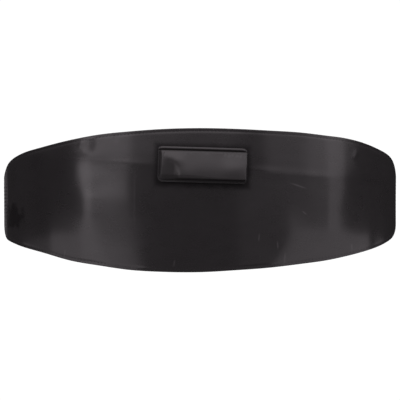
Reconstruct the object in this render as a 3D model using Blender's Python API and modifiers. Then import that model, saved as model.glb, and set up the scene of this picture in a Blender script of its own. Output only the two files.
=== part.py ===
"""A plain cummerbund of black leather with a small pouch pocket, in its worn shape.

Metres, +Z up. The front faces -Y, and the origin is the middle of the waist hollow, half way up
the band. Left and right are those of someone who looks at the front, so left is -X.

Each piece is drawn flat, as it is cut: an arc along the waist from the front centre, a height,
and a lift off the outer face of the front panel. on_waist() rolls such a place onto the waist.
"""

import math
from collections import namedtuple

import bpy
import numpy as np
from mathutils import Vector

MM = 0.001
GAP = 0.3 * MM  # between pieces that are sewn or laid on each other

# The waist oval, at the outer face of the front panel half way up.
WAIST_HALF_WIDTH = 160 * MM
WAIST_HALF_DEPTH = 110 * MM

# Front panel, as it is cut.
PANEL_THICKNESS = 2.0 * MM
PANEL_HALF_LENGTH = 206 * MM
PANEL_END_HALF_HEIGHT = 18.5 * MM
PANEL_CORNER = 24 * MM  # length of each rounded corner, along the panel

CutRow = namedtuple("CutRow", "arc top bottom")
# Millimetres from the front centre, and the heights of the two edges before the corners are
# rounded. The right side is cut a little fuller above, and the left a little fuller below.
CUT_ROWS = (
    CutRow(-206, 19.0, -27.0),
    CutRow(-194, 25.3, -31.3),
    CutRow(-182, 30.5, -33.1),
    CutRow(-160, 37.0, -37.1),
    CutRow(-135, 41.8, -41.5),
    CutRow(-105, 47.4, -47.9),
    CutRow(-80, 51.2, -51.3),
    CutRow(-55, 53.4, -54.3),
    CutRow(-30, 55.0, -55.6),
    CutRow(0, 55.7, -55.8),
    CutRow(30, 55.1, -54.2),
    CutRow(55, 54.0, -52.5),
    CutRow(80, 52.8, -50.0),
    CutRow(105, 50.5, -47.2),
    CutRow(120, 49.1, -44.8),
    CutRow(135, 46.8, -42.1),
    CutRow(160, 40.9, -37.1),
    CutRow(182, 34.6, -31.7),
    CutRow(194, 29.5, -28.7),
    CutRow(206, 22.0, -26.0),
)

# How the worn panel leans. Above a soft bend it lies back, and low on the sides it tucks in.
BEND_HEIGHT = 25.5 * MM  # at the front centre
BEND_DROP = 0.075  # the bend runs down to the right, per unit of arc
BEND_REACH = 90 * MM  # arc past which the bend runs level
BEND_SOFTNESS = 4 * MM
LEAN_BACK = 0.09  # slope of the part above the bend
TUCK_HEIGHT = 30 * MM  # below the middle
TUCK_IN = 0.12  # slope of the lower part at the sides
TUCK_START = 40 * MM  # arc where the tuck begins, and where it is full
TUCK_FULL = 95 * MM
LEAN_FADE_START = 110 * MM  # arc where both leans begin to fade, and where they are gone
LEAN_FADE_END = 214 * MM

# Pouch pocket.
POCKET_LEATHER = 1.2 * MM
POCKET_ARC = 2 * MM  # its middle, to the right of the front centre
POCKET_HEIGHT = 27 * MM
POCKET_HALF_WIDTH = 34.3 * MM
POCKET_HALF_HEIGHT = 13.7 * MM
POCKET_TILT = math.radians(-1.7)  # its right end sits lower
POCKET_CORNER = 4 * MM
POCKET_MARGIN = 2 * MM  # flat sewn margin of the front piece
POUCH_DEPTH = 6.6 * MM  # greatest room inside, at the belly
POUCH_SIDE_RISE = 9 * MM  # width over which the front piece rises from its side margins
POUCH_BOTTOM_RISE = 6 * MM
MOUTH_DROP = 2.6 * MM  # the front piece ends this far under the back piece's edge
MOUTH_CLOSING = 0.24  # share of the depth that the mouth pulls back in

# Elastic straps, sewn inside the panel's ends and folded round the clasp's bars.
STRAP_HEIGHT = 35 * MM
STRAP_THICKNESS = 1.5 * MM
STRAP_UNDER_PANEL = 28 * MM
STRAP_FOLD_EASE = 9 * MM  # from the bar to where the folded end lies flat
STRAP_FOLD_LENGTH = 26 * MM

# Hook and loop clasp at the back centre.
WIRE_RADIUS = 1.3 * MM
BAR_FROM_CENTRE = 15.6 * MM
CATCH_FROM_CENTRE = 3 * MM  # the loop's other bar, which the hook holds
LOOP_HALF_HEIGHT = 20 * MM
LOOP_CORNER = 2.5 * MM
HOOK_SHEET = 1.6 * MM
HOOK_HALF_HEIGHT = 21 * MM
TONGUE_HALF_HEIGHT = 9 * MM
SLOT_HALF_HEIGHT = 18.2 * MM
SLOT_WIDTH = 3 * MM
HOOK_BAR_WIDTH = 3 * MM
HOOK_BAR_OUTER = 2 * MM  # how much of the bar's width lies outside the line of the loop's bar
HOOK_WEB = 1.2 * MM  # flat metal between the slot and the ramp
HOOK_RAMP = 4.5 * MM  # where the sheet rises and narrows to the tongue
HOOK_TIP = 4 * MM  # straight end of the hook, back from the middle of its curl
HOOK_TIP_SHARE = 0.8  # the tip's height against the tongue's
CATCH_CLEARANCE = 0.4 * MM

# Lifts of the straps' and the clasp's middles off the panel's outer face: all lie inside it.
STRAP_LIFT = -(PANEL_THICKNESS + GAP + STRAP_THICKNESS / 2)
STRAP_WRAP = WIRE_RADIUS + GAP + STRAP_THICKNESS / 2
BAR_LIFT = STRAP_LIFT - STRAP_WRAP

Finish = namedtuple("Finish", "colour roughness metallic")
PANEL_FINISH = Finish((0.018, 0.016, 0.017), 0.34, 0)
POCKET_FINISH = Finish((0.028, 0.026, 0.027), 0.42, 0)
ELASTIC_FINISH = Finish((0.012, 0.012, 0.013), 0.85, 0)
METAL_FINISH = Finish((0.05, 0.05, 0.053), 0.3, 1)


def clear_scene():
    for obj in list(bpy.data.objects):
        bpy.data.objects.remove(obj, do_unlink=True)


def new_collection(name, hide_render=False):
    collection = bpy.data.collections.new(name)
    collection.hide_render = hide_render
    bpy.context.scene.collection.children.link(collection)
    return collection


def move_to(obj, collection):
    for old in list(obj.users_collection):
        old.objects.unlink(obj)
    collection.objects.link(obj)


def give_finish(obj, finish):
    material = bpy.data.materials.new(obj.name)
    material.use_nodes = True
    shader = material.node_tree.nodes["Principled BSDF"]
    shader.inputs["Base Color"].default_value = (*finish.colour, 1)
    shader.inputs["Roughness"].default_value = finish.roughness
    shader.inputs["Metallic"].default_value = finish.metallic
    obj.data.materials.append(material)


# ---- the waist


def waist_table():
    """Angles from the front centre, a little past the back, and the arc to each of them."""
    angles = np.linspace(-1.2 * math.pi, 1.2 * math.pi, 4801)
    speeds = np.hypot(WAIST_HALF_WIDTH * np.cos(angles), WAIST_HALF_DEPTH * np.sin(angles))
    steps = (speeds[1:] + speeds[:-1]) / 2 * np.diff(angles)
    arcs = np.concatenate([[0], np.cumsum(steps)])
    return angles, arcs - np.interp(0, angles, arcs)


WAIST_ANGLES, WAIST_ARCS = waist_table()
BACK_ARC = float(np.interp(math.pi, WAIST_ANGLES, WAIST_ARCS))


def ease(share):
    """0 to 1 with a soft start and end."""
    share = min(max(share, 0), 1)
    return share * share * (3 - 2 * share)


def soft_ramp(distance, softness):
    """Nothing before zero and the distance itself well past it, with a soft turn between."""
    return softness * float(np.logaddexp(0, distance / softness))


def lean(arc, height):
    """How far inside the upright oval the leather lies at this place."""
    bend_height = BEND_HEIGHT - BEND_DROP * min(max(arc, -BEND_REACH), BEND_REACH)
    above = soft_ramp(height - bend_height, BEND_SOFTNESS)
    below = soft_ramp(-height - TUCK_HEIGHT, BEND_SOFTNESS)
    tuck = TUCK_IN * ease((abs(arc) - TUCK_START) / (TUCK_FULL - TUCK_START))
    fade = 1 - ease((abs(arc) - LEAN_FADE_START) / (LEAN_FADE_END - LEAN_FADE_START))
    return fade * (LEAN_BACK * above + tuck * below)


def on_waist(arc, height, lift=0.0):
    """The point at this arc and height, moved out from the panel's outer face by lift."""
    angle = float(np.interp(arc, WAIST_ARCS, WAIST_ANGLES))
    across, forward = math.sin(angle), math.cos(angle)
    outward = Vector((across / WAIST_HALF_WIDTH, -forward / WAIST_HALF_DEPTH, 0)).normalized()
    oval = Vector((WAIST_HALF_WIDTH * across, -WAIST_HALF_DEPTH * forward, height))
    return oval + outward * (lift - lean(arc, height))


# ---- cut shapes


def smooth_between_rows(place, places, values):
    """A value between the rows of a table, on a smooth curve through all of them."""
    slopes = np.gradient(values, places)
    row = int(np.clip(np.searchsorted(places, place) - 1, 0, len(places) - 2))
    width = places[row + 1] - places[row]
    t = (place - places[row]) / width
    start = values[row] * (1 + 2 * t) * (1 - t) ** 2 + slopes[row] * width * t * (1 - t) ** 2
    end = values[row + 1] * (3 - 2 * t) * t**2 - slopes[row + 1] * width * (1 - t) * t**2
    return float(start + end)


def corner_share(place, half_length, corner):
    """1 along a piece, falling to 0 at its very end as a quarter circle does."""
    into_corner = max(0, (abs(place) - half_length + corner) / corner)
    return math.sqrt(max(0, 1 - into_corner**2))


def column_places(half_length, corner, corner_steps, straight_steps):
    """Places along a piece: evenly spaced, and at even turns of each rounded corner."""
    turns = np.linspace(0, math.pi / 2, corner_steps + 1)
    corner_places = half_length - corner * (1 - np.sin(turns))
    straight = np.linspace(-corner_places[0], corner_places[0], straight_steps + 1)
    places = np.concatenate([-corner_places[:0:-1], straight, corner_places[1:]])
    return [float(place) for place in places]


def add_wall(name, columns, rows, place, thickness, offset=-1):
    """A grid whose point at each column and row goes to place(column, row), given a wall.

    With offset -1 the grid is the outer face, and with 0 it is the middle of the wall.
    """
    bpy.ops.mesh.primitive_grid_add(x_subdivisions=columns, y_subdivisions=rows, size=2)
    obj = bpy.context.object
    obj.name = name
    obj.data.name = name
    for vertex in obj.data.vertices:
        column = round((vertex.co.x + 1) / 2 * columns)
        row = round((vertex.co.y + 1) / 2 * rows)
        vertex.co = place(column, row)
    wall = obj.modifiers.new("wall", "SOLIDIFY")
    wall.thickness = thickness
    wall.offset = offset
    wall.use_even_offset = True
    obj.data.shade_smooth()
    return obj


# ---- front panel


def panel_edges(arc):
    """Heights of the panel's bottom and top edges at this arc."""
    arcs = [row.arc * MM for row in CUT_ROWS]
    top = smooth_between_rows(arc, arcs, [row.top * MM for row in CUT_ROWS])
    bottom = smooth_between_rows(arc, arcs, [row.bottom * MM for row in CUT_ROWS])
    share = corner_share(arc, PANEL_HALF_LENGTH, PANEL_CORNER)
    end = PANEL_END_HALF_HEIGHT
    return (bottom + end) * share - end, (top - end) * share + end


def make_front_panel(collection):
    arcs = column_places(PANEL_HALF_LENGTH, PANEL_CORNER, 7, 44)
    edges = [panel_edges(arc) for arc in arcs]
    rows = 16

    def place(column, row):
        bottom, top = edges[column]
        return on_waist(arcs[column], bottom + (top - bottom) * row / rows)

    panel = add_wall("front_panel", len(arcs) - 1, rows, place, PANEL_THICKNESS)
    give_finish(panel, PANEL_FINISH)
    move_to(panel, collection)


# ---- pouch pocket


def on_pocket(across, up, lift):
    """A place on the pocket, from its middle, turned with it and laid on the panel."""
    turn_cos, turn_sin = math.cos(POCKET_TILT), math.sin(POCKET_TILT)
    arc = POCKET_ARC + across * turn_cos - up * turn_sin
    height = POCKET_HEIGHT + across * turn_sin + up * turn_cos
    return on_waist(arc, height, lift)


def pocket_bottom(across):
    """The pocket's bottom edge, with its rounded corners."""
    share = corner_share(across, POCKET_HALF_WIDTH, POCKET_CORNER)
    return -POCKET_HALF_HEIGHT + POCKET_CORNER * (1 - share)


def rise_from_seam(distance, width):
    """0 on the sewn margin, rising steeply from it and flat by the end of the rise."""
    share = min(max((distance - POCKET_MARGIN) / width, 0), 1)
    return 1 - (1 - share) ** 2


def pouch_room(across, up):
    """The room behind the front piece: most at the belly, less towards the mouth."""
    side = rise_from_seam(POCKET_HALF_WIDTH - abs(across), POUCH_SIDE_RISE)
    bottom = rise_from_seam(up - pocket_bottom(across), POUCH_BOTTOM_RISE)
    belly = POCKET_MARGIN + POUCH_BOTTOM_RISE - POCKET_HALF_HEIGHT
    mouth = POCKET_HALF_HEIGHT - MOUTH_DROP
    closing = MOUTH_CLOSING * max(0, (up - belly) / (mouth - belly))
    return POUCH_DEPTH * side * bottom * (1 - closing)


def make_pocket_piece(name, top, lift_at, straight_steps, rows, collection):
    places = column_places(POCKET_HALF_WIDTH, POCKET_CORNER, 4, straight_steps)

    def place(column, row):
        across = places[column]
        bottom = pocket_bottom(across)
        up = bottom + (top - bottom) * row / rows
        return on_pocket(across, up, lift_at(across, up))

    piece = add_wall(name, len(places) - 1, rows, place, POCKET_LEATHER)
    give_finish(piece, POCKET_FINISH)
    move_to(piece, collection)


def make_pocket(collection):
    back_face = GAP + POCKET_LEATHER
    front_face = back_face + GAP + POCKET_LEATHER
    mouth = POCKET_HALF_HEIGHT - MOUTH_DROP
    make_pocket_piece("pocket_back", POCKET_HALF_HEIGHT, lambda *_: back_face, 12, 8, collection)

    def bulging(across, up):
        return front_face + pouch_room(across, up)

    make_pocket_piece("pocket_front", mouth, bulging, 24, 14, collection)


# ---- straps


def strap_route():
    """(arc, lift) along a strap's middle: from its sewn end to the bar, round it and back."""
    bar_arc = BACK_ARC - BAR_FROM_CENTRE
    sewn_end = PANEL_HALF_LENGTH - STRAP_UNDER_PANEL
    route = [(arc, STRAP_LIFT) for arc in np.linspace(sewn_end, bar_arc, 27)]
    for turn in np.linspace(0, math.pi, 9)[1:]:
        arc = bar_arc + STRAP_WRAP * math.sin(turn)
        route.append((arc, BAR_LIFT + STRAP_WRAP * math.cos(turn)))
    inside_lift = BAR_LIFT - STRAP_WRAP
    folded_lift = STRAP_LIFT - STRAP_THICKNESS - GAP
    for share in np.linspace(0, 1, 7)[1:]:
        lift = inside_lift + (folded_lift - inside_lift) * ease(share)
        route.append((bar_arc - STRAP_FOLD_EASE * share, lift))
    for arc in np.linspace(bar_arc - STRAP_FOLD_EASE, bar_arc - STRAP_FOLD_LENGTH, 4)[1:]:
        route.append((arc, folded_lift))
    return route


def make_strap(name, side, collection):
    """side is 1 for the right strap and -1 for the left."""
    route = strap_route()
    rows = 2

    def place(column, row):
        arc, lift = route[column]
        return on_waist(side * arc, STRAP_HEIGHT * (row / rows - 0.5), lift)

    strap = add_wall(name, len(route) - 1, rows, place, STRAP_THICKNESS, offset=0)
    give_finish(strap, ELASTIC_FINISH)
    move_to(strap, collection)


# ---- clasp


def at_back(across, height, lift):
    """A place at the back: across is from the back centre, towards +X."""
    return on_waist(BACK_ARC - across, height, lift)


def make_clasp_loop(collection):
    """A round wire bent into an upright rectangle. One long side carries the strap."""
    middle = -(BAR_FROM_CENTRE + CATCH_FROM_CENTRE) / 2
    half_width = (BAR_FROM_CENTRE - CATCH_FROM_CENTRE) / 2
    points = []
    for quarter in range(4):
        to_right = 1 if quarter in (0, 3) else -1
        to_top = 1 if quarter in (0, 1) else -1
        for turn in np.linspace(quarter, quarter + 1, 4) * math.pi / 2:
            across = middle + to_right * (half_width - LOOP_CORNER) + LOOP_CORNER * math.cos(turn)
            height = to_top * (LOOP_HALF_HEIGHT - LOOP_CORNER) + LOOP_CORNER * math.sin(turn)
            points.append(at_back(across, height, BAR_LIFT))
    curve = bpy.data.curves.new("clasp_loop", "CURVE")
    curve.dimensions = "3D"
    curve.bevel_depth = WIRE_RADIUS
    curve.bevel_resolution = 2
    wire = curve.splines.new("POLY")
    wire.points.add(len(points) - 1)
    for point, place in zip(wire.points, points):
        point.co = (*place, 1)
    wire.use_cyclic_u = True
    loop = bpy.data.objects.new("clasp_loop", curve)
    collection.objects.link(loop)
    give_finish(loop, METAL_FINISH)


def hook_route():
    """(across, lift, half height) along the hook's middle, from its bar to the hook's tip."""
    curl = WIRE_RADIUS + CATCH_CLEARANCE + HOOK_SHEET / 2
    bar_edge = BAR_FROM_CENTRE + HOOK_BAR_OUTER
    slot_edge = bar_edge - HOOK_BAR_WIDTH - SLOT_WIDTH
    plate_end = slot_edge - HOOK_WEB
    route = [(across, BAR_LIFT, HOOK_HALF_HEIGHT) for across in (bar_edge, slot_edge, plate_end)]
    for share in (0.25, 0.5, 0.75, 1):
        half_height = HOOK_HALF_HEIGHT + (TONGUE_HALF_HEIGHT - HOOK_HALF_HEIGHT) * ease(share)
        route.append((plate_end - HOOK_RAMP * share, BAR_LIFT + curl * ease(share), half_height))
    route.append((0, BAR_LIFT + curl, TONGUE_HALF_HEIGHT))
    for turn in np.linspace(0, math.pi, 9):
        across = -CATCH_FROM_CENTRE - curl * math.sin(turn)
        route.append((across, BAR_LIFT + curl * math.cos(turn), TONGUE_HALF_HEIGHT))
    tip_half_height = TONGUE_HALF_HEIGHT * HOOK_TIP_SHARE
    route.append((HOOK_TIP - CATCH_FROM_CENTRE, BAR_LIFT - curl, tip_half_height))
    return route


def make_clasp_hook(collection, cutters):
    """Sheet metal with a slot for the strap at one end and the other end curled into a hook."""
    route = hook_route()
    rows = 4

    def place(column, row):
        across, lift, half_height = route[column]
        return at_back(across, half_height * (2 * row / rows - 1), lift)

    hook = add_wall("clasp_hook", len(route) - 1, rows, place, HOOK_SHEET, offset=0)
    move_to(hook, collection)
    slot_middle = BAR_FROM_CENTRE + HOOK_BAR_OUTER - HOOK_BAR_WIDTH - SLOT_WIDTH / 2
    bpy.ops.mesh.primitive_cube_add(size=1, location=at_back(slot_middle, 0, BAR_LIFT))
    cutter = bpy.context.object
    cutter.name = "hook_slot_cutter"
    cutter.scale = (SLOT_WIDTH, 6 * HOOK_SHEET, 2 * SLOT_HALF_HEIGHT)
    cutter.display_type = "WIRE"
    cutter.hide_render = True
    move_to(cutter, cutters)
    slot = hook.modifiers.new("slot", "BOOLEAN")
    slot.operation = "DIFFERENCE"
    slot.solver = "EXACT"
    slot.object = cutter
    give_finish(hook, METAL_FINISH)


def main():
    clear_scene()
    garment = new_collection("cummerbund")
    cutters = new_collection("cutters", hide_render=True)
    make_front_panel(garment)
    make_pocket(garment)
    make_strap("strap_loop_side", -1, garment)
    make_strap("strap_hook_side", 1, garment)
    make_clasp_loop(garment)
    make_clasp_hook(garment, cutters)


main()
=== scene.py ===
# %% [markdown]
# # A black leather cummerbund with a small pouch pocket
#
# A cummerbund is a broad band worn round the waist. This one has a front of smooth black leather,
# cut wide in the middle and narrow at the ends, with a small pouch sewn on it. Two elastic straps
# run round the back and meet in a metal hook and loop. It is shown as it is worn, but empty, so it
# is a hollow oval.
#
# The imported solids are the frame: they say where each piece is and how large. Here each one gets
# its finish: finer folds, stitching, grain, weave and metal.

# %% Load the frame
import math
from collections import namedtuple

import bmesh
import bpy
import numpy as np
from mathutils import Matrix, Vector, noise
from mathutils.kdtree import KDTree


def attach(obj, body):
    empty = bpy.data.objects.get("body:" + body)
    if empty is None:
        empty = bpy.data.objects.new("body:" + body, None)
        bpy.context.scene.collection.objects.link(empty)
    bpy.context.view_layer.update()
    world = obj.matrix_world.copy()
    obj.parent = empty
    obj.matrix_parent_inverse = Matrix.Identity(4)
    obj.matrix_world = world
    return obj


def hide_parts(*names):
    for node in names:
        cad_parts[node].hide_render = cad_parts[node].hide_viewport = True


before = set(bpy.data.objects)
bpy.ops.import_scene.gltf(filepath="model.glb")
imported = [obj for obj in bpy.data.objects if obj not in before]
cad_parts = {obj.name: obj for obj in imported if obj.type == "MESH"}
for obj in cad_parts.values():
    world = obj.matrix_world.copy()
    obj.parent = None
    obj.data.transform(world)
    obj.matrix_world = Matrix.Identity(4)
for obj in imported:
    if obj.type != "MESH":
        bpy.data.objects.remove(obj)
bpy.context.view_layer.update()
MM = 0.001
print("solids:", sorted(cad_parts))

# %% [markdown]
# ## The waist
#
# Leather is cut flat and then worn round, so every piece is drawn flat first: an arc along the
# waist from the front centre, a height, and a lift off the outer face of the leather front. One
# function rolls such a place onto the waist. A lathe or a Curve modifier could bend a flat mesh
# too, but then stitches, pocket and straps would each need bending as well. With one function,
# whatever is drawn at the same arc and height lands at the same spot.

# %% Sizes of the waist and of the front, as in the solids
GAP = 0.3 * MM
WAIST_HALF_WIDTH = 160 * MM
WAIST_HALF_DEPTH = 110 * MM
PANEL_THICKNESS = 2.0 * MM
PANEL_HALF_LENGTH = 206 * MM
PANEL_END_HALF_HEIGHT = 18.5 * MM
PANEL_CORNER = 24 * MM

BEND_HEIGHT = 25.5 * MM
BEND_DROP = 0.075
BEND_REACH = 90 * MM
BEND_SOFTNESS = 4 * MM
LEAN_BACK = 0.09
TUCK_HEIGHT = 30 * MM
TUCK_IN = 0.12
TUCK_START = 40 * MM
TUCK_FULL = 95 * MM
LEAN_FADE_START = 110 * MM
LEAN_FADE_END = 214 * MM


# %% Roll a flat place onto the waist
def waist_table():
    """Angles from the front centre, a little past the back, and the arc to each of them."""
    angles = np.linspace(-1.2 * math.pi, 1.2 * math.pi, 4801)
    speeds = np.hypot(WAIST_HALF_WIDTH * np.cos(angles), WAIST_HALF_DEPTH * np.sin(angles))
    steps = (speeds[1:] + speeds[:-1]) / 2 * np.diff(angles)
    arcs = np.concatenate([[0], np.cumsum(steps)])
    return angles, arcs - np.interp(0, angles, arcs)


WAIST_ANGLES, WAIST_ARCS = waist_table()
BACK_ARC = float(np.interp(math.pi, WAIST_ANGLES, WAIST_ARCS))


def ease(share):
    """0 to 1 with a soft start and end."""
    share = np.clip(share, 0, 1)
    return share * share * (3 - 2 * share)


def soft_ramp(distance, softness):
    """Nothing before zero and the distance itself well past it, with a soft turn between."""
    return softness * np.logaddexp(0, distance / softness)


def lean(arc, height):
    """How far inside the upright oval the leather lies: it leans back above and tucks in below."""
    bend_height = BEND_HEIGHT - BEND_DROP * np.clip(arc, -BEND_REACH, BEND_REACH)
    above = soft_ramp(height - bend_height, BEND_SOFTNESS)
    below = soft_ramp(-height - TUCK_HEIGHT, BEND_SOFTNESS)
    tuck = TUCK_IN * ease((abs(arc) - TUCK_START) / (TUCK_FULL - TUCK_START))
    fade = 1 - ease((abs(arc) - LEAN_FADE_START) / (LEAN_FADE_END - LEAN_FADE_START))
    return fade * (LEAN_BACK * above + tuck * below)


def on_waist(arc, height, lift=0.0):
    """The points at these arcs and heights, moved out from the leather's outer face by lift."""
    arc, height, lift = np.broadcast_arrays(arc, height, lift)
    angle = np.interp(arc, WAIST_ARCS, WAIST_ANGLES)
    across, forward = np.sin(angle), np.cos(angle)
    level = np.zeros_like(across)
    outward = np.stack([across / WAIST_HALF_WIDTH, -forward / WAIST_HALF_DEPTH, level], axis=-1)
    outward /= np.linalg.norm(outward, axis=-1, keepdims=True)
    oval = np.stack([WAIST_HALF_WIDTH * across, -WAIST_HALF_DEPTH * forward, height], axis=-1)
    return oval + outward * (lift - lean(arc, height))[..., None]


print("round the waist: %.0f mm" % (2 * BACK_ARC / MM))

# %% [markdown]
# ## The camera and the studio
#
# The photograph looks straight at the front, level with the middle of the band, from far enough
# away that the sides show as upright lines. Black leather has almost no colour of its own. What
# draws its shape is what it mirrors, so the studio matters as much as the leather: a tall soft
# light on the left, a narrow one on the right with a dim wide one beside it, low boards on both
# sides, a bright ceiling and dark walls. A large light is rarely even, so most of them are a few
# area lights that overlap. A picture of a studio could stand round the object instead, but lights
# with a name and a size are easier to move.

# %% The camera
CAMERA_DISTANCE = 2.0
SENSOR = 36.0
LENS = 220.2

bpy.ops.object.camera_add(location=(0, -CAMERA_DISTANCE, 0), rotation=(math.pi / 2, 0, 0))
camera = bpy.context.object
camera.data.sensor_width = SENSOR
camera.data.lens = LENS
bpy.context.scene.camera = camera
bpy.context.scene.view_settings.view_transform = "Standard"
print("the picture is %.0f mm wide at the waist" % (CAMERA_DISTANCE * SENSOR / LENS / MM))

# %% The lights
Softbox = namedtuple("Softbox", "name azimuth elevation distance width height brightness")
# Degrees to the right of the camera and degrees up, then metres. The brightness is what a perfect
# mirror would show of the light's face.
SOFTBOXES = (
    # the tall light on the left, brighter towards its outer edge and above
    Softbox("key_left", -42.8, 0.5, 2.0, 0.88, 0.31, 0.50),
    Softbox("key_left_inner", -45.5, 0.5, 2.02, 0.68, 0.31, 0.25),
    Softbox("key_left_high", -40, 16, 2.0, 0.72, 0.60, 1.15),
    Softbox("key_left_edge", -51.8, 2, 2.04, 0.24, 0.52, 0.90),
    Softbox("key_left_upper", -44, 3.2, 2.06, 0.96, 0.155, 1.35),
    Softbox("high_left", -40, 20, 2.1, 1.53, 0.80, 0.40),
    # the low board on the left, and a faint light behind the left end
    Softbox("board_left", -50.5, -11.5, 2.0, 1.82, 0.46, 1.00),
    Softbox("board_left_edge", -51, -11.5, 2.04, 0.30, 0.46, 0.40),
    Softbox("board_left_side", -90, -12.5, 2.02, 1.10, 0.46, 0.30),
    Softbox("rim_left", -156, 2, 2.1, 0.80, 0.50, 0.10),
    # the dim wide light on the right, and the narrow one at its outer edge
    Softbox("fill_right", 34, 0.5, 2.3, 1.52, 0.52, 0.29),
    Softbox("strip_right", 66.5, 11, 2.0, 0.39, 1.10, 0.98),
    Softbox("strip_right_soft", 57, 11, 2.02, 0.40, 1.10, 0.40),
    Softbox("strip_right_high", 54, 13, 2.04, 0.46, 0.42, 0.10),
    Softbox("high_right", 68, 17, 2.06, 1.00, 0.72, 0.40),
    Softbox("high_fill", 41, 15, 2.1, 0.98, 0.68, 0.48),
    # the low board on the right
    Softbox("board_right", 67, -13, 2.0, 2.16, 0.64, 0.92),
    Softbox("board_right_side", 109, -13, 2.0, 0.46, 0.64, 0.40),
    # a faint light beside the camera, one above it for the pouch, and one from behind
    Softbox("front", -6, 2, 2.4, 1.90, 1.40, 0.12),
    Softbox("pouch_glow", 0, 25, 2.2, 1.45, 0.78, 0.55),
    Softbox("back", -150, 30, 2.2, 1.6, 0.8, 1.2),
)
WATTS_FOR_BRIGHTNESS = math.pi
LIGHT_TINT = (1.0, 0.92, 0.97)


def add_softbox(box):
    azimuth, elevation = math.radians(box.azimuth), math.radians(box.elevation)
    way = Vector((
        math.sin(azimuth) * math.cos(elevation),
        -math.cos(azimuth) * math.cos(elevation),
        math.sin(elevation),
    ))
    bpy.ops.object.light_add(type="AREA", location=way * box.distance)
    light = bpy.context.object
    light.name = box.name
    light.rotation_mode = "QUATERNION"
    light.rotation_quaternion = way.to_track_quat("Z", "Y")
    light.data.shape = "RECTANGLE"
    light.data.size = box.width
    light.data.size_y = box.height
    light.data.color = LIGHT_TINT
    light.data.energy = box.brightness * WATTS_FOR_BRIGHTNESS * box.width * box.height
    light.visible_camera = False


for softbox in SOFTBOXES:
    add_softbox(softbox)
print(len(SOFTBOXES), "soft lights")

# %% The room
RoomBand = namedtuple("RoomBand", "rise brightness")
# The sine of the elevation, from the floor to the ceiling, and how bright the room is there.
ROOM = (
    RoomBand(-0.50, 0.36),
    RoomBand(-0.12, 0.15),
    RoomBand(0.00, 0.10),
    RoomBand(0.10, 0.13),
    RoomBand(0.22, 0.24),
    RoomBand(0.36, 0.90),
    RoomBand(0.55, 1.60),
)
BRIGHTEST = 1.60
BACK_START = 0.2  # how far behind the object the room begins to darken
BACK_SHARE = 0.12  # how much of the brightness is left straight behind it
PAPER_WHITE = 1.05  # what the camera sees behind the object


def light_the_room():
    world = bpy.data.worlds.new("studio")
    bpy.context.scene.world = world
    world.use_nodes = True
    nodes, links = world.node_tree.nodes, world.node_tree.links
    nodes.clear()
    place = nodes.new("ShaderNodeTexCoord")
    parts = nodes.new("ShaderNodeSeparateXYZ")
    links.new(place.outputs["Generated"], parts.inputs[0])
    share = nodes.new("ShaderNodeMath")
    share.operation = "MULTIPLY_ADD"
    share.inputs[1].default_value = 0.5
    share.inputs[2].default_value = 0.5
    links.new(parts.outputs["Z"], share.inputs[0])
    bands = nodes.new("ShaderNodeValToRGB")
    stops = bands.color_ramp.elements
    while len(stops) < len(ROOM):
        stops.new(0.5)
    for stop, band in zip(stops, ROOM):
        stop.position = band.rise / 2 + 0.5
    for stop, band in zip(stops, ROOM):
        stop.color = (*[tint * band.brightness / BRIGHTEST for tint in LIGHT_TINT], 1)
    links.new(share.outputs[0], bands.inputs[0])
    behind = nodes.new("ShaderNodeMapRange")
    behind.inputs["From Min"].default_value = BACK_START
    behind.inputs["To Min"].default_value = BRIGHTEST
    behind.inputs["To Max"].default_value = BRIGHTEST * BACK_SHARE
    links.new(parts.outputs["Y"], behind.inputs["Value"])
    room = nodes.new("ShaderNodeBackground")
    links.new(behind.outputs["Result"], room.inputs["Strength"])
    links.new(bands.outputs["Color"], room.inputs["Color"])
    paper = nodes.new("ShaderNodeBackground")
    paper.inputs["Color"].default_value = (1, 1, 1, 1)
    paper.inputs["Strength"].default_value = PAPER_WHITE
    path = nodes.new("ShaderNodeLightPath")
    either = nodes.new("ShaderNodeMixShader")
    links.new(path.outputs["Is Camera Ray"], either.inputs[0])
    links.new(room.outputs[0], either.inputs[1])
    links.new(paper.outputs[0], either.inputs[2])
    out = nodes.new("ShaderNodeOutputWorld")
    links.new(either.outputs[0], out.inputs["Surface"])


light_the_room()

# %% [markdown]
# ## Writing finishes as sums
#
# A finish is a tree of nodes. Most of its nodes only add and multiply, and a long list of them is
# hard to read. The class below stands for one output of a node, and Python's own signs on it add
# the Math nodes, so a grain can be written as `fine * 0.3 + pebbles`. Every other node comes from
# one method of the class after it.


# %% Two classes for finishes
class Value:
    """One output in a material. Sums on it, such as 1 - mask, add the Math nodes they need."""

    def __init__(self, finish, socket):
        self.finish = finish
        self.socket = socket

    def other(self, name):
        """Another output of the same node."""
        return Value(self.finish, self.socket.node.outputs[name])

    def __add__(self, number):
        return self.finish.math("ADD", self, number)

    def __sub__(self, number):
        return self.finish.math("SUBTRACT", self, number)

    def __rsub__(self, number):
        return self.finish.math("SUBTRACT", number, self)

    def __mul__(self, number):
        return self.finish.math("MULTIPLY", self, number)

    def __truediv__(self, number):
        return self.finish.math("DIVIDE", self, number)

    def __pow__(self, number):
        return self.finish.math("POWER", self, number)

    __radd__ = __add__
    __rmul__ = __mul__


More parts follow.
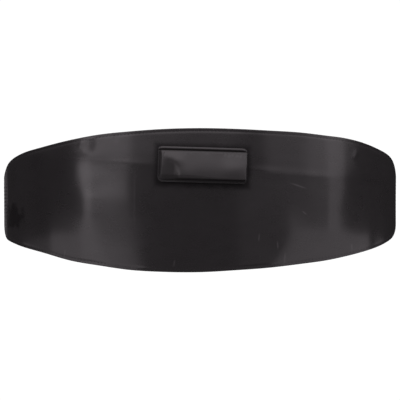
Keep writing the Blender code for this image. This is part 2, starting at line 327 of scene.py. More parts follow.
class Finish:
    """A material, its Principled shader's fixed values, and one way to add nodes to it."""

    def __init__(self, name, **fixed):
        self.material = bpy.data.materials.new(name)
        self.material.use_nodes = True
        self.tree = self.material.node_tree
        self.shader = self.tree.nodes["Principled BSDF"]
        for socket, value in fixed.items():
            self.shader.inputs[socket.replace("_", " ")].default_value = value

    def put(self, socket, value):
        """Gives a socket a fixed value, or links it to an output."""
        if isinstance(value, Value):
            self.tree.links.new(value.socket, socket)
        else:
            socket.default_value = value

    def node(self, kind, settings, inputs, output=0):
        """Adds a node: its settings first, then the values or links of its inputs."""
        made = self.tree.nodes.new(kind)
        for name, setting in settings.items():
            setattr(made, name, setting)
        for name, value in inputs.items():
            self.put(made.inputs[name], value)
        return Value(self, made.outputs[output])

    def math(self, operation, first, second=0.0):
        return self.node("ShaderNodeMath", {"operation": operation}, {0: first, 1: second})

    def clamped(self, value, low, high):
        """0 below low, 1 above high, and a soft step between."""
        inputs = {"Value": value, "From Min": low, "From Max": high}
        return self.node("ShaderNodeMapRange", {"interpolation_type": "SMOOTHSTEP"}, inputs)

    def mix(self, factor, first, second):
        """Two colours mixed."""
        colours = {0: factor, 6: first, 7: second}
        return self.node("ShaderNodeMix", {"data_type": "RGBA"}, colours, output=2)

    def stretched(self, place, sizes):
        """A place in units of these sizes, which are in metres."""
        scale = [1 / size for size in sizes]
        return self.node("ShaderNodeMapping", {}, {"Vector": place, "Scale": scale})

    def noise(self, place, size, detail=2.0, stretch=(1, 1, 1)):
        """Soft noise whose spots are about this large, in metres, times the stretch."""
        where = self.stretched(place, [size * share for share in stretch])
        inputs = {"Vector": where, "Scale": 1.0, "Detail": detail}
        return self.node("ShaderNodeTexNoise", {}, inputs)

    def raised(self, height, depth):
        """A Bump node, depth being what a height of 1 stands for, in metres."""
        return self.node("ShaderNodeBump", {}, {"Height": height, "Distance": depth})

    def moved(self, place, middle, turn):
        """How far a place is from this middle, along axes turned by this angle."""
        offset = self.node(
            "ShaderNodeVectorMath", {"operation": "SUBTRACT"}, {0: place, 1: (*middle, 0)}
        )
        turned = self.node(
            "ShaderNodeVectorRotate",
            {"rotation_type": "Z_AXIS"},
            {"Vector": offset, "Angle": -turn},
        )
        return self.node("ShaderNodeSeparateXYZ", {}, {"Vector": turned})

    def feed(self, **values):
        for socket, value in values.items():
            self.put(self.shader.inputs[socket.replace("_", " ")], value)


# %% [markdown]
# ## The floor
#
# The floor is a plain pale disc, as far down as it is below a worn waist. The camera looks straight
# ahead and doesn't see it, and other views do. Its light on the leather is left to the low boards,
# which can be placed freely.

# %% Lay the floor
FLOOR_DROP = 1.0
FLOOR_RADIUS = 10.0
FLOOR_SPOT = 0.5
FLOOR_COLOURS = (0.745, 0.81, 0.765, 1), (0.79, 0.855, 0.815, 1)


def lay_floor():
    bpy.ops.object.select_all(action="DESELECT")
    bpy.ops.mesh.primitive_circle_add(
        vertices=96, radius=FLOOR_RADIUS, fill_type="NGON", location=(0, 0, -FLOOR_DROP)
    )
    floor = bpy.context.object
    floor.name = "floor"
    finish = Finish("pale_floor", Roughness=0.9, Specular_IOR_Level=0.1)
    place = finish.node("ShaderNodeTexCoord", {}, {}, output="Object")
    finish.feed(Base_Color=finish.mix(finish.noise(place, FLOOR_SPOT, 3.0), *FLOOR_COLOURS))
    floor.data.materials.append(finish.material)
    floor.visible_glossy = False
    floor.visible_diffuse = False


lay_floor()

# %% [markdown]
# ## Leather
#
# The front is smooth calf leather, dyed through and finished with a thin semi-gloss coat. Close up
# it has fine pores and hair-thin creases that run together into small pebbles. From a step away
# only its slightly uneven gloss shows. The pouch is of thinner leather with a softer gloss. The
# grain reads the flat cut, so it follows the leather round the waist and isn't stretched.
#
# A few marks are too fine for the mesh: short creases and puckers. Each is a small bump, and along it
# the colour is painted paler, a painted highlight for the shine that it catches. Each is a row of a
# table: where its middle is on the flat cut, which way it runs, how long and wide it is and how far it
# stands out.

# %% Fine creases
CUT_MAP = "cut"  # the map that says where on the flat cut piece a point is, in metres
Fold = namedtuple("Fold", "arc height turn length width out")
# Millimetres, and degrees up from level.
FINE_CREASES = (
    # a faint upright line left of the middle, and a level one on the bend
    Fold(-51, 1, 90, 56, 1.6, 0.030),
    Fold(-76, 31.4, -4, 90, 2.0, 0.030),
    # short marks right of the middle
    Fold(78, 11, -17, 18, 1.0, 0.10),
    Fold(83, -10, -35, 6, 0.9, 0.10),
    # puckers that run up from the bottom seam
    Fold(46, -29, 84, 8, 1.0, 0.08),
    Fold(61, -35, 96, 8, 1.1, 0.09),
    Fold(67, -46, 88, 12, 1.2, 0.08),
    Fold(-20, -49, 80, 7, 1.2, 0.06),
    Fold(-112, -42, 75, 8, 1.3, 0.07),
    Fold(128, -37, 100, 8, 1.3, 0.08),
)
# painted highlight: the colour along a crease is paler, the more so the higher the crease
CREASE_HIGHLIGHT_AT = 0.10 * MM  # a crease this high is as pale as they get
CREASE_HIGHLIGHT_COLOUR = (0.034, 0.032, 0.0335, 1)


def crease(finish, place, fold):
    """A fine crease's height in metres, on the flat cut."""
    middle = (fold.arc * MM, fold.height * MM)
    parts = finish.moved(place, middle, math.radians(fold.turn))
    half_length, half_width = fold.length / 2 * MM, fold.width / 2 * MM
    along = finish.math("ABSOLUTE", parts.other("X"))
    fade = 1 - finish.clamped(along, 0.2 * half_length, half_length)
    aside = finish.math("ABSOLUTE", parts.other("Y")) / half_width
    hill = finish.math("EXPONENT", aside**2 * -1.0)
    return hill * fade * (fold.out * MM)


# %% [markdown]
# In a few places shade is painted in: beside the pouch, along its seams and its mouth, in its slack
# corner and at the left end of the front. There the clear coat is taken away, so the leather mirrors
# little, and its colour is darkened. Each place is a mask from 0 to 1. Such masks could be painted by
# hand, but worked out from the pouch's own sizes they stay with the pouch.

# %% Where the pouch is on the front
POCKET_ARC = 2 * MM
POCKET_HEIGHT = 27 * MM
POCKET_HALF_WIDTH = 34.3 * MM
POCKET_HALF_HEIGHT = 13.7 * MM
POCKET_TILT = math.radians(-1.7)
POCKET_MARGIN = 1.6 * MM
MOUTH_DROP = 3.1 * MM
POCKET_MOUTH = POCKET_HALF_HEIGHT - MOUTH_DROP

# %% Painted shade
# painted shadow round the pouch, deepest below it: the clear coat is taken away and the colour
# darkened
PAINTED_SHADOW_FULL = 0.3 * MM
PAINTED_SHADOW_REACH = 5.5 * MM
PAINTED_SHADOW_STRENGTH = 0.97
PAINTED_SHADOW_DROP = 0.8 * MM  # the mask hangs this much lower than the pouch
PAINTED_SHADOW_WANDER = 3 * MM
PAINTED_SHADOW_SPOT = 7 * MM
# patches of painted shade: a dark patch at the left end of the front and one in the pouch's slack
# corner
PaintedShadePatch = namedtuple("PaintedShadePatch", "place reach strength")
SHADED_LEFT_END = PaintedShadePatch((-173 * MM, -13 * MM, 0), (19 * MM, 11 * MM, 1), 0.95)
SHADED_SLACK_CORNER = PaintedShadePatch((-26 * MM, -6 * MM, 0), (10 * MM, 12 * MM, 1), 0.45)
PATCH_SPOT = 8 * MM
PATCH_WANDER = 1.3  # in shares of the patch's reach
# how strong the painted shade is on the pouch's margin and along its mouth
MARGIN_SHADE = 0.45
MOUTH_SHADE = 0.6


def painted_shadow_beside_pouch(finish, place):
    """Painted shadow, full at the pouch's edge and gone a few uneven millimetres outside it, on the
    flat cut.
    """
    middle = (POCKET_ARC, POCKET_HEIGHT - PAINTED_SHADOW_DROP)
    parts = finish.moved(place, middle, POCKET_TILT)
    outside_across = finish.math("ABSOLUTE", parts.other("X")) - POCKET_HALF_WIDTH
    outside_up = finish.math("ABSOLUTE", parts.other("Y")) - POCKET_HALF_HEIGHT
    wander = (finish.noise(place, PAINTED_SHADOW_SPOT, 2.0) - 0.5) * PAINTED_SHADOW_WANDER
    outside = finish.math("MAXIMUM", outside_across, outside_up) + wander
    return (1 - finish.clamped(outside, PAINTED_SHADOW_FULL, PAINTED_SHADOW_REACH)) * PAINTED_SHADOW_STRENGTH


def painted_shade_patch(finish, place, patch):
    """A patch of painted shade: its strength in its middle, fading to 0 at its uneven rim."""
    offset = finish.node("ShaderNodeVectorMath", {"operation": "SUBTRACT"}, {0: place, 1: patch.place})
    share = finish.stretched(offset, patch.reach)
    far = finish.node("ShaderNodeVectorMath", {"operation": "LENGTH"}, {0: share}, output="Value")
    wander = (finish.noise(place, PATCH_SPOT, 1.0) - 0.5) * PATCH_WANDER
    return (1 - finish.clamped(far + wander, 0.5, 1.0)) * patch.strength


# painted shade on the front: the shadow round the pouch and the dark patch at its left end
def front_painted_shade(finish, place):
    return finish.math("MAXIMUM", painted_shadow_beside_pouch(finish, place), painted_shade_patch(finish, place, SHADED_LEFT_END))


def pouch_painted_shade(finish, place):
    """Painted shade on the pouch: on its margin, along its mouth and in its slack corner."""
    parts = finish.node("ShaderNodeSeparateXYZ", {}, {"Vector": place})
    across = finish.math("ABSOLUTE", parts.other("X")) - (POCKET_HALF_WIDTH - POCKET_MARGIN)
    down = parts.other("Y") * -1.0 - (POCKET_HALF_HEIGHT - POCKET_MARGIN)
    margin = finish.clamped(finish.math("MAXIMUM", across, down), -0.5 * MM, 0.3 * MM)
    to_mouth = finish.math("ABSOLUTE", parts.other("Y") - POCKET_MOUTH)
    mouth = 1 - finish.clamped(to_mouth, 0.2 * MM, 1.4 * MM)
    margin_and_mouth_shade = finish.math("MAXIMUM", margin * MARGIN_SHADE, mouth * MOUTH_SHADE)
    return finish.math("MAXIMUM", margin_and_mouth_shade, painted_shade_patch(finish, place, SHADED_SLACK_CORNER))


# %% Leather finishes
PEBBLE = 0.9 * MM
PORE = 0.28 * MM
CLOUD = 26 * MM
RUBBED_SPOT = 6 * MM


def leather(name, colour, roughness, grain, make_painted_shade, folds=()):
    """Smooth leather with a thin clear finish. grain is the depth of its pebbles, in metres.

    The fourth argument makes the mask, from 0 to 1, of painted shade: there the clear finish is
    missing and the colour is darker. folds are the leather's fine creases, which get a painted
    highlight.
    """
    finish = Finish(name, Specular_IOR_Level=0.15, Coat_Roughness=roughness)
    place = finish.node("ShaderNodeUVMap", {"uv_map": CUT_MAP}, {})
    pebble_place = finish.stretched(place, [PEBBLE] * 3)
    settings = {"feature": "DISTANCE_TO_EDGE", "voronoi_dimensions": "2D"}
    pebble = finish.node("ShaderNodeTexVoronoi", settings, {"Vector": pebble_place, "Scale": 1.0})
    creases = finish.clamped(pebble, 0.0, 0.22)
    pores = finish.noise(place, PORE, 3.0)
    cloudy = finish.noise(place, CLOUD, 3.0)
    rubbed = finish.noise(place, RUBBED_SPOT, 4.0, stretch=(2.5, 1, 1))
    # painted shade: where the mask is, the clear coat goes and the colour turns dark
    unshaded = 1 - make_painted_shade(finish, place)
    tone_and_painted_shade = (cloudy * 0.7 + rubbed * 0.3) * unshaded
    dark = (*[part * 0.65 for part in colour], 1)
    light = (*[part * 1.3 for part in colour], 1)
    tone = finish.mix(tone_and_painted_shade, dark, light)
    height = (creases * 0.7 + pores * 0.5) * grain
    if folds:
        crease_heights_and_highlight = sum(crease(finish, place, fold) for fold in folds)
        height = height + crease_heights_and_highlight
        # painted highlight: paler colour along the fine creases
        tone = finish.mix(crease_heights_and_highlight / CREASE_HIGHLIGHT_AT, tone, CREASE_HIGHLIGHT_COLOUR)
    finish.feed(
        Base_Color=tone,
        Roughness=roughness + 0.05 + cloudy * 0.08 + rubbed * 0.06,
        Normal=finish.raised(height, 1.0),
        Coat_Weight=(0.7 + rubbed * 0.12) * unshaded,
    )
    return finish.material


PANEL_COLOUR = (0.0085, 0.0076, 0.0082)
POCKET_COLOUR = (0.013, 0.012, 0.0124)
panel_leather = leather(
    "panel_leather", PANEL_COLOUR, 0.16, 0.0016 * MM, front_painted_shade, folds=FINE_CREASES
)
pocket_leather = leather("pocket_leather", POCKET_COLOUR, 0.30, 0.006 * MM, pouch_painted_shade)
print("leathers:", panel_leather.name, "and", pocket_leather.name)


# %% The flesh side and the cut edge of leather
def flesh_side():
    """The inside of leather: a matt, short-napped suede."""
    finish = Finish("flesh_side", Specular_IOR_Level=0.25, Sheen_Weight=0.25, Sheen_Roughness=0.5)
    place = finish.node("ShaderNodeUVMap", {"uv_map": CUT_MAP}, {})
    nap = finish.noise(place, 0.5 * MM, 4.0, stretch=(1, 2.2, 1))
    brushed = finish.noise(place, 14 * MM, 3.0, stretch=(1, 1.6, 1))
    finish.feed(
        Base_Color=finish.mix(
            nap * 0.5 + brushed * 0.5, (0.013, 0.012, 0.012, 1), (0.04, 0.037, 0.036, 1)
        ),
        Roughness=0.82 + nap * 0.12,
        Normal=finish.raised(nap, 0.06 * MM),
    )
    return finish.material


def painted_edge():
    """The cut edge of leather, painted black and rubbed smooth."""
    finish = Finish("painted_edge", Specular_IOR_Level=0.3)
    place = finish.node("ShaderNodeTexCoord", {}, {}, output="Object")
    uneven = finish.noise(place, 1.5 * MM, 3.0)
    finish.feed(
        Base_Color=finish.mix(uneven, (0.008, 0.008, 0.008, 1), (0.02, 0.019, 0.019, 1)),
        Roughness=0.5 + uneven * 0.2,
        Normal=finish.raised(uneven, 0.03 * MM),
    )
    return finish.material


flesh = flesh_side()
edge_paint = painted_edge()

# %% [markdown]
# ## The leather front
#
# The front is one piece, cut with a curved top and bottom and rounded ends. Worn, its upper part
# leans back above a soft bend and its lower sides tuck in. A needle row runs just inside the edge
# and pulls a shallow groove into the leather, so the edge beyond it stands up as a thin roll. Over
# the years it has taken a few creases and puckers, placed here one by one.
#
# It could be a simulated cloth, but a stiff band worn tight barely moves, and the photograph shows
# exactly where its few folds are. So it is a fine grid, each point of which is worked out on the
# flat cut, lifted by the folds and rolled onto the waist. Solidify gives it its thickness.

# %% The cut of the front
CutRow = namedtuple("CutRow", "arc top bottom")
# Millimetres from the front centre, and the heights of the two edges before the corners are
# rounded.
CUT_ROWS = (
    CutRow(-206, 19.0, -27.0),
    CutRow(-194, 25.3, -31.3),
    CutRow(-182, 30.5, -33.1),
    CutRow(-160, 37.0, -37.1),
    CutRow(-135, 41.8, -41.5),
    CutRow(-105, 47.4, -47.9),
    CutRow(-80, 51.2, -51.3),
    CutRow(-55, 53.4, -54.3),
    CutRow(-30, 55.0, -55.6),
    CutRow(0, 55.7, -55.8),
    CutRow(30, 55.1, -54.2),
    CutRow(55, 54.0, -52.5),
    CutRow(80, 52.8, -50.0),
    CutRow(105, 50.5, -47.2),
    CutRow(120, 49.1, -44.8),
    CutRow(135, 46.8, -42.1),
    CutRow(160, 40.9, -37.1),
    CutRow(182, 34.6, -31.7),
    CutRow(194, 29.5, -28.7),
    CutRow(206, 22.0, -26.0),
)


def smooth_between_rows(place, places, values):
    """Values between the rows of a table, on a smooth curve through all of them."""
    places, values = np.array(places, float), np.array(values, float)
    slopes = np.gradient(values, places)
    row = np.clip(np.searchsorted(places, place) - 1, 0, len(places) - 2)
    width = places[row + 1] - places[row]
    t = (place - places[row]) / width
    start = values[row] * (1 + 2 * t) * (1 - t) ** 2 + slopes[row] * width * t * (1 - t) ** 2
    end = values[row + 1] * (3 - 2 * t) * t**2 - slopes[row + 1] * width * (1 - t) * t**2
    return start + end


def corner_share(place, half_length, corner):
    """1 along a piece, falling to 0 at its very end as a quarter circle does."""
    into_corner = np.maximum(0, (abs(place) - half_length + corner) / corner)
    return np.sqrt(np.maximum(0, 1 - into_corner**2))


def panel_edges(arc):
    """Heights of the front's bottom and top edges at these arcs."""
    arcs = [row.arc * MM for row in CUT_ROWS]
    top = smooth_between_rows(arc, arcs, [row.top * MM for row in CUT_ROWS])
    bottom = smooth_between_rows(arc, arcs, [row.bottom * MM for row in CUT_ROWS])
    share = corner_share(arc, PANEL_HALF_LENGTH, PANEL_CORNER)
    end = PANEL_END_HALF_HEIGHT
    return (bottom + end) * share - end, (top - end) * share + end


# %% Lines round a cut piece
LINE_STEP = 0.3 * MM


def outline_of(edges, half_length, corner, step):
    """The closed outline of a cut piece, anticlockwise: along the bottom, and back along the top."""
    turns = np.linspace(0, math.pi / 2, 40)
    ends = half_length - corner * (1 - np.sin(turns))
    middle = np.linspace(-ends[0], ends[0], int(2 * ends[0] / step) + 1)
    arcs = np.concatenate([-ends[:0:-1], middle, ends[1:]])
    bottom, top = edges(arcs)
    right = np.linspace(bottom[-1], top[-1], int((top[-1] - bottom[-1]) / step) + 1)[1:-1]
    left = np.linspace(top[0], bottom[0], int((top[0] - bottom[0]) / step) + 1)[1:-1]
    sides = [
        np.stack([arcs, bottom], axis=1),
        np.stack([np.full_like(right, arcs[-1]), right], axis=1),
        np.stack([arcs[::-1], top[::-1]], axis=1),
        np.stack([np.full_like(left, arcs[0]), left], axis=1),
    ]
    return np.concatenate(sides)


def distance_to(line, arcs, heights):
    """How far each flat place is from the nearest point of a line."""
    tree = KDTree(len(line))
    for index, (arc, height) in enumerate(line):
        tree.insert((arc, height, 0), index)
    tree.balance()
    flat = zip(arcs.ravel().tolist(), heights.ravel().tolist())
    return np.array([tree.find((arc, height, 0))[2] for arc, height in flat]).reshape(arcs.shape)


def inset_line(outline, inset):
    """The line that runs inside a closed outline at this distance, without loops at its corners."""
    along = np.roll(outline, -1, axis=0) - np.roll(outline, 1, axis=0)
    along /= np.linalg.norm(along, axis=1, keepdims=True)
    inside = outline + inset * np.stack([-along[:, 1], along[:, 0]], axis=1)
    nearly_inset = 0.97 * inset
    return inside[distance_to(outline, inside[:, 0], inside[:, 1]) > nearly_inset]


panel_outline = outline_of(panel_edges, PANEL_HALF_LENGTH, PANEL_CORNER, LINE_STEP)
rim_steps = np.linalg.norm(np.roll(panel_outline, -1, axis=0) - panel_outline, axis=1)
print("round the cut: %.0f mm" % (rim_steps.sum() / MM))

# %% [markdown]
# The wider folds are in the mesh. They are rows of a table too, and go in where their height is
# below zero: soft ridges and troughs that fade out at both ends.

# %% The folds of the front
# Millimetres, and degrees up from level.
PANEL_FOLDS = (
    # broad swells that turn the reflections of the lights
    Fold(0, -5, 0, 340, 44, 0.60),
    Fold(-88, -4, 90, 50, 26, 0.42),
    Fold(104, -17, 90, 58, 24, 0.34),
    # the bend, sharper beside the pouch
    Fold(70, 20.5, -4.3, 120, 7, 0.24),
    Fold(50, 21.5, -4.3, 34, 7, 0.07),
    Fold(-50, 28.4, -4.3, 60, 6, 0.08),
    # marks under the top seam
    Fold(-90, 43, 80, 18, 12, -0.42),
    Fold(-97, 44, 75, 9, 3.5, 0.15),
    Fold(-67, 48, 94, 8, 3, -0.12),
    Fold(133, 36, 60, 12, 5, 0.22),
    Fold(-141, 26, 92, 16, 3, -0.16),
    # the sides, where the band turns round the waist
    Fold(-170, -14, 78, 34, 6, -0.25),
    Fold(-184, 6, 96, 40, 7, 0.22),
    Fold(176, -8, 100, 40, 7, -0.22),
    Fold(190, 8, 84, 36, 6, 0.20),
)
SWELL_SIZE = 34 * MM
SWELL_DEPTH = 0.22 * MM
SEAM_INSET = 2.3 * MM
GROOVE_DEPTH = 0.08 * MM
GROOVE_HALF_WIDTH = 0.8 * MM
EDGE_DROP = 0.04 * MM
EDGE_DROP_WIDTH = 3.6 * MM


def folded(folds, arc, height):
    """How far the folds lift the leather at these flat places."""
    out = np.zeros_like(arc)
    for fold in folds:
        turn = math.radians(fold.turn)
        right, up = arc - fold.arc * MM, height - fold.height * MM
        along = right * math.cos(turn) + up * math.sin(turn)
        aside = up * math.cos(turn) - right * math.sin(turn)
        fade = ease((fold.length / 2 * MM - abs(along)) / (fold.length * 0.4 * MM))
        out += fold.out * MM * fade * np.exp(-((aside / (fold.width / 2 * MM)) ** 2))
    return out


def uneven(arc, height, size, depth):
    """A gentle unevenness, the same each run. size is that of its swells, in metres."""
    flat = zip((arc / size).ravel().tolist(), (height / size).ravel().tolist())
    waves = [noise.noise((right, up, 0.5)) for right, up in flat]
    return depth * np.array(waves).reshape(arc.shape)


def panel_lift(arc, height):
    """The relief of the leather front: folds, slight swells, the seam's groove and the edge."""
    to_edge = distance_to(panel_outline, arc, height)
    groove = GROOVE_DEPTH * np.exp(-(((to_edge - SEAM_INSET) / GROOVE_HALF_WIDTH) ** 2))
    drop = EDGE_DROP * (1 - ease(to_edge / EDGE_DROP_WIDTH))
    swells = uneven(arc, height, SWELL_SIZE, SWELL_DEPTH)
    return folded(PANEL_FOLDS, arc, height) + swells - groove - drop


# %% Make a cloth piece from places
def spaced(length, fine_reach, fine_step, step):
    """Places from 0 to 1 along a length, close together near both ends."""
    fine = np.arange(0, fine_reach, fine_step)
    count = max(2, int(round((length - 2 * fine_reach) / step)))
    middle = np.linspace(fine_reach, length - fine_reach, count + 1)
    return np.concatenate([fine, middle, length - fine[::-1]]) / length


def lay_sheet(name, points, cut, thickness, materials, offset=-1.0, round_edge=0.0):
    """A piece of cloth or leather from a grid of points, columns by rows, with a wall.

    cut holds the same points' flat places, which the finishes read. The materials are those of the
    outer face, of the inner one and of the edge.
    """
    columns, rows = points.shape[0] - 1, points.shape[1] - 1
    bpy.ops.object.select_all(action="DESELECT")
    bpy.ops.mesh.primitive_grid_add(x_subdivisions=columns, y_subdivisions=rows, size=2)
    piece = bpy.context.object
    piece.name = name
    mesh = piece.data
    mesh.name = name
    start = np.zeros(len(mesh.vertices) * 3, np.float32)
    mesh.vertices.foreach_get("co", start)
    start = start.reshape(-1, 3)
    column = np.rint((start[:, 0] + 1) / 2 * columns).astype(int)
    row = np.rint((start[:, 1] + 1) / 2 * rows).astype(int)
    mesh.vertices.foreach_set("co", points[column, row].astype(np.float32).ravel())
    corner_vertex = np.zeros(len(mesh.loops), np.int32)
    mesh.loops.foreach_get("vertex_index", corner_vertex)
    mesh.uv_layers[0].name = CUT_MAP
    flat = cut[column, row][corner_vertex]
    mesh.uv_layers[0].uv.foreach_set("vector", flat.astype(np.float32).ravel())
    for material in materials:
        mesh.materials.append(material)
    mesh.shade_smooth()
    wall = piece.modifiers.new("wall", "SOLIDIFY")
    wall.thickness = thickness
    wall.offset = offset
    wall.use_even_offset = True
    wall.material_offset = 1
    wall.material_offset_rim = 2
    bpy.ops.object.modifier_apply(modifier="wall")
    if round_edge:
        rounding = piece.modifiers.new("rounding", "BEVEL")
        rounding.width = round_edge
        rounding.segments = 2
        rounding.limit_method = "ANGLE"
        rounding.angle_limit = math.radians(50)
        bpy.ops.object.modifier_apply(modifier="rounding")
    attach(piece, "root")
    return piece


def triangles(piece):
    return sum(len(face.vertices) - 2 for face in piece.data.polygons)


# %% Make the front
END_REACH = 6 * MM
END_STEP = 0.5 * MM
COLUMN_STEP = 1.15 * MM
EDGE_ROWS = np.array([0, 0.6, 1.2, 1.7, 2.3, 2.9, 3.5, 4.3, 5.3]) * MM
MIDDLE_ROWS = 66
PANEL_ROUNDING = 0.3 * MM


def even_rows(height):
    """Shares of a column's height, with the same rows near both edges in every column."""
    middle = np.linspace(EDGE_ROWS[-1], height - EDGE_ROWS[-1], MIDDLE_ROWS + 1)[1:-1]
    return np.concatenate([EDGE_ROWS, middle, height - EDGE_ROWS[::-1]]) / height


def make_front():
    share = spaced(2 * PANEL_HALF_LENGTH, END_REACH, END_STEP, COLUMN_STEP)
    arcs = (2 * share - 1) * PANEL_HALF_LENGTH
    bottom, top = panel_edges(arcs)
    columns = []
    for low, high in zip(bottom, top):
        columns.append(low + (high - low) * even_rows(high - low))
    heights = np.array(columns)
    arcs = np.broadcast_to(arcs[:, None], heights.shape)
    points = on_waist(arcs, heights, panel_lift(arcs, heights))
    cut = np.stack([arcs, heights], axis=-1)
    finishes = [panel_leather, flesh, edge_paint]
    return lay_sheet(
        "leather_front", points, cut, PANEL_THICKNESS, finishes, round_edge=PANEL_ROUNDING
    )


front = make_front()
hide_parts("front_panel")
print("leather front:", triangles(front), "triangles")

# %% [markdown]
# ## Thread
#
# Each stitch of a machine seam is a short length of thread that dives into a needle hole at both
# ends. One is modelled from a sphere, drawn out and bent down at its ends, and it is copied along
# each seam, turned to follow it. Bump could draw the stitches, but then a seam would lie flat when
# seen along the leather, and its thread would cast no shadow.

# %% One stitch
STITCH_LENGTH = 2.3 * MM
THREAD_HALF_WIDTH = 0.18 * MM
THREAD_DIVE = 1.6 * THREAD_HALF_WIDTH  # how far a stitch's ends go into the leather
THREAD_LIFT = 0.02 * MM  # how far its middle line stands out of it


def thread_finish():
    """Black polyester thread: two plies twisted together, with a faint shine."""
    finish = Finish("thread", Specular_IOR_Level=0.25)
    place = finish.node("ShaderNodeTexCoord", {}, {}, output="Object")
    fuzz = finish.noise(place, 0.35 * MM, 3.0)
    finish.feed(
        Base_Color=finish.mix(fuzz, (0.006, 0.006, 0.007, 1), (0.018, 0.017, 0.018, 1)),
        Roughness=0.55 + fuzz * 0.2,
        Normal=finish.raised(fuzz, 0.05 * MM),
    )
    return finish.material


thread = thread_finish()


def make_stitch():
    bpy.ops.object.select_all(action="DESELECT")
    turned = (0, math.pi / 2, 0)
    bpy.ops.mesh.primitive_uv_sphere_add(segments=8, ring_count=6, radius=1, rotation=turned)
    made = bpy.context.object
    made.scale = (THREAD_HALF_WIDTH, THREAD_HALF_WIDTH, STITCH_LENGTH / 2)
    bpy.ops.object.transform_apply(location=False, rotation=True, scale=True)
    for vertex in made.data.vertices:
        share = abs(vertex.co.x) / (STITCH_LENGTH / 2)
        vertex.co.z -= THREAD_DIVE * share**3
    made.data.shade_smooth()
    made.data.materials.append(thread)
    return made


stitch = make_stitch()
print("one stitch:", triangles(stitch), "triangles")


# %% Sew along a line
FEELING_STEP = 0.4 * MM  # how far apart two places are that show which way a face lies


def along_line(line, distances):
    """The flat places at these distances along a line."""
    steps = np.linalg.norm(np.diff(line, axis=0), axis=1)
    reached = np.concatenate([[0], np.cumsum(steps)])
    return np.stack([np.interp(distances, reached, line[:, axis]) for axis in (0, 1)], axis=1)


def seam_matrices(line, face, pitch, side):
    """Where each stitch lies and how it is turned. side is 1 outside the face and -1 inside."""
    length = np.linalg.norm(np.diff(line, axis=0), axis=1).sum()
    count = int(round(length / pitch))
    middles = (np.arange(count) + 0.5) * length / count
    reach = pitch / 4
    spots = along_line(line, middles)
    places = face(*spots.T)
    along = face(*along_line(line, middles + reach).T) - face(*along_line(line, middles - reach).T)
    arc, height = spots.T
    right = face(arc + FEELING_STEP, height) - face(arc - FEELING_STEP, height)
    up = face(arc, height + FEELING_STEP) - face(arc, height - FEELING_STEP)
    outward = np.cross(right, up) * side
    along /= np.linalg.norm(along, axis=1, keepdims=True)
    outward -= (outward * along).sum(axis=1, keepdims=True) * along
    outward /= np.linalg.norm(outward, axis=1, keepdims=True)
    for place, run, out in zip(places, along, outward):
        aside = Vector(out).cross(Vector(run))
        turn = Matrix((run, aside, out)).transposed()
        yield Matrix.Translation(place + out * THREAD_LIFT) @ turn.to_4x4()


def sew(name, seams):
    """One piece of all the stitches of these seams, each (line, face, pitch, side)."""
    bpy.ops.object.select_all(action="DESELECT")
    copies = []
    for seam in seams:
        for matrix in seam_matrices(*seam):
            copy = stitch.copy()
            copy.data = stitch.data.copy()
            copy.matrix_world = matrix
            bpy.context.scene.collection.objects.link(copy)
            copy.select_set(True)
            copies.append(copy)
    bpy.context.view_layer.objects.active = copies[0]
    bpy.ops.object.join()
    sewn = bpy.context.object
    sewn.name = name
    sewn.data.name = name
    bpy.ops.object.transform_apply()
    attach(sewn, "root")
    print(name + ":", len(copies), "stitches,", triangles(sewn), "triangles")
    return sewn


# %% Sew round the edge of the front
EDGE_PITCH = 3.0 * MM


def front_face(arc, height):
    return on_waist(arc, height, panel_lift(arc, height))


def front_flesh(arc, height):
    return on_waist(arc, height, panel_lift(arc, height) - PANEL_THICKNESS)


edge_line = inset_line(panel_outline, SEAM_INSET)
edge_line = np.concatenate([edge_line, edge_line[:1]])
edge_seam = sew("edge_stitching", [
    (edge_line, front_face, EDGE_PITCH, 1),
    (edge_line, front_flesh, EDGE_PITCH, -1),
])

# %% [markdown]
# ## The pouch pocket
#
# The pouch is two pieces of thinner leather. The back one lies flat on the front of the band and
# shows only as a thin lip along the top. The front one is cut a little larger and sewn to it round
# three sides, so it bellies out above its flat margin, and its open edge is gathered slightly under
# the lip. With use the belly has sunk over its right and bottom seams, and the lower left corner has
# gone slack. It is drawn flat like the rest, with the room behind it as a lift. Sculpting would be
# quicker to start, but here each of these can be changed by itself.

# %% Sizes of the pouch
POCKET_LEATHER = 1.2 * MM
POCKET_CORNER = 4 * MM
POCKET_SIDE_MARGIN = 1.1 * MM
POUCH_DEPTH = 6.6 * MM
POUCH_SIDE_RISE = 3.0 * MM
POUCH_BOTTOM_RISE = 4.0 * MM
BOTTOM_RISE_TILT = 0.013  # how much longer the rise is towards the left
POUCH_ROUNDNESS = 1.8
MOUTH_SLOPE = 0.11  # how steeply the pouch closes towards its mouth, above the belly
BELLY = -6.0 * MM
BELLY_SOFTNESS = 1.8 * MM
# The slack lower left corner falls away from a line that runs down to the right, and the slope fades
# out towards the pouch's middle.
SLACK_ACROSS = -30.7 * MM
SLACK_UP = 7.8 * MM
SLACK_TURN = math.radians(-29.6)
SLACK_SLOPE = 0.26
SLACK_SOFTNESS = 1.2 * MM
SLACK_END = -15.5 * MM
SLACK_FADE = 6 * MM
POCKET_BACK_LIFT = GAP + POCKET_LEATHER
POCKET_FRONT_LIFT = POCKET_BACK_LIFT + GAP + POCKET_LEATHER


# %% Places on the pouch
def on_pocket(across, up, lift):
    """Places on the pocket, from its middle, turned with it and laid on the front."""
    turn_cos, turn_sin = math.cos(POCKET_TILT), math.sin(POCKET_TILT)
    arc = POCKET_ARC + across * turn_cos - up * turn_sin
    height = POCKET_HEIGHT + across * turn_sin + up * turn_cos
    return on_waist(arc, height, lift)


def pocket_bottom(across):
    """The pocket's bottom edge, with its rounded corners."""
    share = corner_share(across, POCKET_HALF_WIDTH, POCKET_CORNER)
    return -POCKET_HALF_HEIGHT + POCKET_CORNER * (1 - share)


